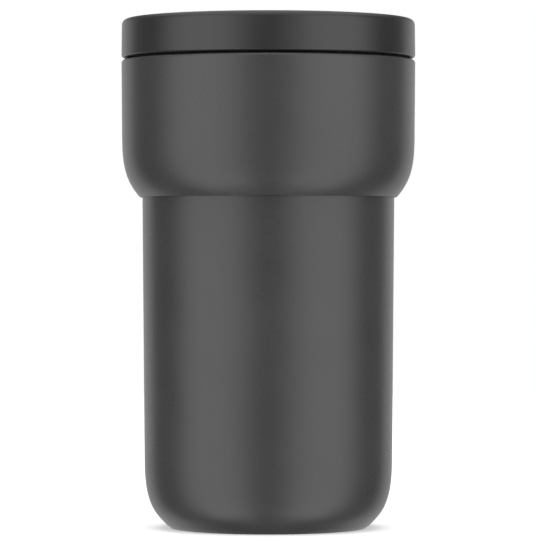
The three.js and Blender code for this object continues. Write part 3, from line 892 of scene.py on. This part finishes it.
def plug_wall():
    """Threaded wall of the inner moulding, with its flange and the valve's seat."""
    flange_r, low, _ = span("lid_plug")
    top = flange_top()
    outer_r = PLUG["outer_r"]
    edge = PLUG["flange_edge"]
    outline = [
        (PLUG["seat_r"], low, PLUG["seat_round"]),
        (outer_r, low, PLUG["edge"]),
        (outer_r, top - PLUG["flange_h"], edge),
        (flange_r, top - PLUG["flange_h"], edge),
        (flange_r, top, edge),
        (PLUG["inner_r"], top, edge),
        (PLUG["inner_r"], low + PLUG["funnel_top_h"], PLUG["funnel_top_round"]),
        (PLUG["funnel_r"], low + PLUG["funnel_h"], PLUG["funnel_round"]),
        (PLUG["seat_r"], low + PLUG["seat_h"], PLUG["seat_round"]),
    ]

    def threaded(angle, r, z):
        on_wall = abs(r - outer_r) < ON_WALL
        return r + thread(angle, z, PLUG_THREAD) if on_wall else r, z

    return turned("plug_wall", divided(rounded(outline, SMALL_CORNER), THREAD_ROW), ROUND, threaded)


def plug_hub():
    """Tube in the middle of the inner moulding: click mechanism above its floor, seal below."""
    low = HUB["low"]
    high = HUB["high"]
    floor = low + HUB["floor"]
    pocket = low + SEAL_POCKET["height"]
    edge = HUB["edge"]
    outline = [
        (SEAL_POCKET["r"], low, edge),
        (HUB["r"], low, HUB["foot_round"]),
        (HUB["r"], high, edge),
        (HUB["bore_r"], high, edge),
        (HUB["bore_r"], floor, HUB["floor_round"]),
        (HUB["hole_r"], floor, edge),
        (HUB["hole_r"], pocket, edge),
        (SEAL_POCKET["r"], pocket),
    ]
    return turned("plug_hub", rounded(outline, HUB_CORNER), SMALL_ROUND)


def plug_spoke(k):
    """A web from the hub to the wall, waisted along its top."""
    hub = HUB["r"] - SPOKE["bury"]
    wall = PLUG["inner_r"] + SPOKE["bury"]
    high = SPOKE["high"]
    waist = high - SPOKE["waist"]
    top = bezier((wall, high), (wall - SPOKE["lead"], waist), (hub + SPOKE["lead"], waist), (hub, high))
    outline = [(hub, SPOKE["low"]), (wall, SPOKE["low"]), *top]
    piece = slab(f"plug_spoke_{k + 1}", outline, SPOKE["width"], SPOKE["edge"])
    return spun(piece, FULL_TURN * k / SPOKE["count"])


def gasket_ring():
    """Silicone ring under the flange, with two fine lips underneath."""
    outer, low, high = span("neck_gasket")
    inner = GASKET["inner_r"]
    base = low + GASKET["lip_h"]
    corners = [(inner, base)]
    for lip_r in GASKET["lips_r"]:
        corners += [
            (lip_r - GASKET["lip_half"], base),
            (lip_r, low, GASKET["round"]),
            (lip_r + GASKET["lip_half"], base),
        ]
    corners += [(outer, base, GASKET["round"]), (outer, high, GASKET["round"]), (inner, high)]
    return turned("gasket_ring", rounded(corners, SMALL_CORNER), INNER_ROUND)


def cap_bush():
    """Bush in the top of the hub that guides the plunger."""
    r, low, high = span("hub_cap")
    head = low + BUSH["spigot_h"]
    edge = BUSH["edge"]
    outline = [
        (BUSH["bore_r"], low, edge),
        (BUSH["spigot_r"], low, edge),
        (BUSH["spigot_r"], head),
        (r, head, edge),
        (r, high, BUSH["rim_round"]),
        (BUSH["bore_r"], high, BUSH["bore_round"]),
    ]
    return turned("cap_bush", rounded(outline, HUB_CORNER), SMALL_ROUND)


def zigzag(angle):
    """A crown's rise at this angle, from 0 to its full height."""
    share = (angle / FULL_TURN * CROWN["teeth"]) % 1
    return CROWN["height"] * (1 - abs(2 * share - 1))


def bush_sleeve():
    """Lining of the hub."""
    r, low, high = span("guide_sleeve")
    return turned("bush_sleeve", tube_outline(LINING["bore_r"], r, low, high), SMALL_ROUND)


def bush_collar():
    """Toothed collar at the top of the lining, which stops and turns the rotor."""
    _, _, high = span("guide_sleeve")
    low = high - LINING["collar_h"]

    def toothed(angle, r, z):
        on_teeth = z < (low + high) / 2
        return r, z + (LINING["tooth_share"] * zigzag(angle) if on_teeth else 0)

    outline = tube_outline(BUSH["bore_r"], LINING["collar_r"], low, high)
    return turned("bush_collar", outline, INNER_ROUND, toothed)


def lip_seal():
    """Lip seal that keeps the drink out of the hub."""
    r, low, high = span("stem_seal")
    edge = STEM_SEAL["edge"]
    outline = [
        (STEM_SEAL["lip_r"], low + STEM_SEAL["relief"], edge),
        (STEM_SEAL["relief_r"], low, edge),
        (r, low, edge),
        (r, high, edge),
        (STEM_SEAL["relief_r"], high, edge),
        (STEM_SEAL["lip_r"], high - STEM_SEAL["relief"], edge),
    ]
    return turned("lip_seal", rounded(outline, HUB_CORNER), SMALL_ROUND)


def coil_spring():
    """Compression spring with closed ends, built at rest; on the real mug the button squashes it as it goes
    down.
    """
    outer, low, high = span("return_spring")
    wire = SPRING["wire_r"]
    mean_r = outer - wire
    count = SPRING["turns"] * SPRING["steps"]
    centres = []
    for i in range(count + 1):
        share = i / count
        eased = (1 - SPRING["ease"]) * share + SPRING["ease"] * smooth(share)
        angle = FULL_TURN * SPRING["turns"] * share
        z = low + wire + (high - low - 2 * wire) * eased
        centres.append(Vector((mean_r * math.cos(angle), mean_r * math.sin(angle), z)) * MM)
    return swept("coil_spring", centres, wire * MM)


def plunger_tube():
    """Plunger under the button, with a crown of teeth at its foot."""
    r, low, high = span("button_plunger")

    def toothed(angle, radius, z):
        return radius, z + (zigzag(angle) if z < (low + high) / 2 else 0)

    return turned("plunger_tube", tube_outline(STEM_HOLE_R, r, low, high), INNER_ROUND, toothed)


def rotor_crown():
    """Rotor of the click mechanism, with a crown of teeth on top."""
    _, low, high = span("click_rotor")

    def toothed(angle, radius, z):
        return radius, z + (zigzag(angle) if z > (low + high) / 2 else 0)

    outline = tube_outline(ROTOR["bore_r"], ROTOR["r"], low, high - CROWN["height"])
    return turned("rotor_crown", outline, INNER_ROUND, toothed)


def rotor_fin(k):
    """Fin on the rotor that runs under the collar."""
    floor = span("click_rotor")[1]
    low = floor + FIN["low"]
    outline = [
        (FIN["root_r"], low),
        (FIN["r"], low),
        (FIN["r"], floor + FIN["high"]),
        (FIN["root_r"], floor + FIN["root_high"]),
    ]
    return spun(slab(f"rotor_fin_{k + 1}", outline, FIN["width"], BROKEN_EDGE), FULL_TURN * k / FIN["count"])


def stem_rod():
    """Rod from the plunger to the valve, with the collar that the valve hangs on."""
    r, low, high = span("valve_stem")
    rod = STEM["r"]
    collar = span("valve_disc")[2] + STEM["collar_gap"]
    collar_top = collar + STEM["collar_h"]
    edge = STEM["edge"]
    outline = [
        (0, low),
        (rod, low, edge),
        (rod, collar),
        (r, collar, edge),
        (r, collar_top, edge),
        (rod, collar_top),
        (rod, high, edge),
        (0, high),
    ]
    return turned("stem_rod", rounded(outline, HUB_CORNER), SMALL_ROUND)


def valve_plate():
    """Round valve plate, stiffened in the middle."""
    r, low, high = span("valve_disc")
    rim = low + VALVE["rim_rise"]
    outline = [
        (STEM_HOLE_R, low, HOLE_EDGE),
        (VALVE["thick_r"], low, VALVE["round"]),
        (VALVE["rim_r"], rim, VALVE["round"]),
        (r, rim),
        (r, high),
        (STEM_HOLE_R, high, HOLE_EDGE),
    ]
    return turned("valve_plate", rounded(outline, VALVE_CORNER), INNER_ROUND)


def valve_ring():
    """Silicone ring over the edge of the valve plate."""
    r, low, high = span("valve_seal")
    plate_r, _, plate_top = span("valve_disc")
    inner = plate_r + LIP["gap"]
    grip = plate_r - LIP["grip"]
    roof = plate_top + LIP["roof"]
    bend = LIP["round"]
    outline = [
        (inner, low, LIP["foot_edge"]),
        (r - LIP["taper"], low + LIP["taper"], bend),
        (r, high - LIP["slope"], bend),
        (r - LIP["top_in"], high, LIP["top_round"]),
        (grip, high, LIP["grip_round"]),
        (grip, roof),
        (inner, roof),
    ]
    return turned("valve_ring", rounded(outline, VALVE_CORNER), INNER_ROUND)


def finger_nut():
    """Lobed nut that holds the valve plate, turned off by hand for cleaning."""
    r, low, high = span("valve_nut")
    cap = low + NUT["cap_h"]
    outline = [
        (0, low),
        (r, low, NUT["edge"]),
        (r, high, NUT["top_edge"]),
        (STEM_HOLE_R, high, HOLE_EDGE),
        (STEM_HOLE_R, cap),
        (0, cap),
    ]

    def scalloped(angle, radius, z):
        outward = smooth((radius - NUT["core_r"]) / (r - NUT["core_r"]))
        between_lobes = smooth(NUT["scoop_level"] - NUT["scoop_swing"] * math.cos(NUT["lobes"] * angle))
        return radius - NUT["scoop"] * outward * between_lobes, z

    return turned("finger_nut", divided(rounded(outline, VALVE_CORNER), NUT["row"]), INNER_ROUND, scalloped)


PIECES = {
    "upper_shell": [painted_band()],
    "lower_shell": [painted_sleeve()],
    "shell_base": [plate_with_dimple()],
    "vacuum_seal": [glass_bead()],
    "base_cover": [foot_disc()],
    "getter": [getter_pellet()],
    "reflective_foil": [foil_wrap()],
    "liner_base": [liner_bowl()],
    "inner_liner": [steel_liner()],
    "lid_rim": [lid_ring()],
    "lid_plug": [plug_wall(), plug_hub(), *[plug_spoke(k) for k in range(SPOKE["count"])]],
    "neck_gasket": [gasket_ring()],
    "hub_cap": [cap_bush()],
    "guide_sleeve": [bush_sleeve(), bush_collar()],
    "stem_seal": [lip_seal()],
    "return_spring": [coil_spring()],
    "push_button": [button_cap()],
    "button_plunger": [plunger_tube()],
    "click_rotor": [rotor_crown(), *[rotor_fin(k) for k in range(FIN["count"])]],
    "valve_stem": [stem_rod()],
    "valve_disc": [valve_plate()],
    "valve_seal": [valve_ring()],
    "valve_nut": [finger_nut()],
}
for node, pieces in PIECES.items():
    for piece in pieces:
        stand_in(piece, node)

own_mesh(PIECES["return_spring"][0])

# ---------------------------------------------------------------- floor, light and camera


def pale_floor():
    """White floor. Only the camera sees it: the mug takes its light from the studio alone."""
    half = FLOOR_SIZE / 2
    corners = [(-half, -half, 0), (half, -half, 0), (half, half, 0), (-half, half, 0)]
    mesh = bpy.data.meshes.new("floor")
    mesh.from_pydata(corners, [], [(0, 1, 2, 3)])
    floor = bpy.data.objects.new("floor", mesh)
    bpy.context.scene.collection.objects.link(floor)
    for ray in ("diffuse", "glossy", "transmission", "shadow"):
        setattr(floor, f"visible_{ray}", False)
    paint = Finish("pale_floor", Base_Color=(*grey(FLOOR_TONE), 1), Roughness=0.9)
    paint.set(Emission_Color=(1, 1, 1, 1), Emission_Strength=FLOOR_GLOW, Specular_IOR_Level=0.1)
    mesh.materials.append(paint.material)


def lamp_overhead():
    """Broad soft lamp straight above."""
    light = bpy.data.lights.new("soft_top", "AREA")
    light.shape = "SQUARE"
    light.size = TOP_SIZE
    light.energy = TOP_LIGHT * math.pi * TOP_SIZE**2
    lamp = bpy.data.objects.new("soft_top", light)
    bpy.context.scene.collection.objects.link(lamp)
    lamp.location = (0, 0, TOP_HEIGHT)
    lamp.visible_camera = False
    lamp.visible_glossy = False


def studio_world():
    """White to the camera. To the mug it is a bank of light at each side and a white backdrop."""
    world = bpy.data.worlds.new("studio")
    bpy.context.scene.world = world
    world.use_nodes = True
    n = Nodes(world.node_tree)
    direction = n.add("ShaderNodeTexCoord").outputs["Generated"]
    across, back, up = n.add("ShaderNodeSeparateXYZ", {"Vector": direction}).outputs
    front = n.math("MULTIPLY", back, -1)
    azimuth = n.math("ARCTAN2", n.math("ABSOLUTE", across), front)

    def turn(edges, start, end):
        low, high = map(math.radians, edges)
        return n.ranged(azimuth, low, high, start, end, "SMOOTHSTEP")

    def rise(edges, start, end):
        return n.ranged(up, *edges, start, end, "SMOOTHSTEP")

    banks = n.math("MULTIPLY", turn(BANK_RISE, 0, BANK_LIGHT), turn(BANK_FALL, 1, 0))
    sides = n.math("MULTIPLY", n.math("ADD", banks, FRONT_LIGHT), rise(BANK_TOP, 1, 0))
    stretch = n.math("MULTIPLY", rise(BACKDROP_FOOT, 0, 1), rise(BACKDROP_TOP, 1, 0))
    backdrop = n.math("MULTIPLY", turn(BACKDROP_RISE, 0, BACKDROP_LIGHT), stretch)
    walls = n.math("ADD", sides, backdrop)
    with_table = n.math("ADD", walls, rise(BOUNCE_EDGE, BOUNCE_LIGHT, 0))
    dimmed = n.math("MULTIPLY", with_table, rise(DARK_BELOW, DOWN_SHARE, 1))
    light = n.math("ADD", dimmed, rise(CEILING_EDGE, 0, CEILING_LIGHT))
    seen = n.add("ShaderNodeLightPath").outputs["Is Camera Ray"]
    n.give(world.node_tree.nodes["Background"].inputs["Color"], n.ranged(seen, 0, 1, light, 1.0))


def photo_camera():
    """Camera a metre off, level with the middle of the mug."""
    camera = bpy.data.objects.new("camera", bpy.data.cameras.new("camera"))
    bpy.context.scene.collection.objects.link(camera)
    camera.data.sensor_width = SENSOR
    camera.data.lens = FOCAL_PIXELS / PICTURE_HEIGHT * SENSOR
    camera.location = CAMERA_PLACE
    camera.rotation_euler = (CAMERA_TARGET - CAMERA_PLACE).to_track_quat("-Z", "Y").to_euler()
    bpy.context.scene.camera = camera


pale_floor()
lamp_overhead()
studio_world()
photo_camera()
bpy.context.scene.view_settings.view_transform = "Standard"
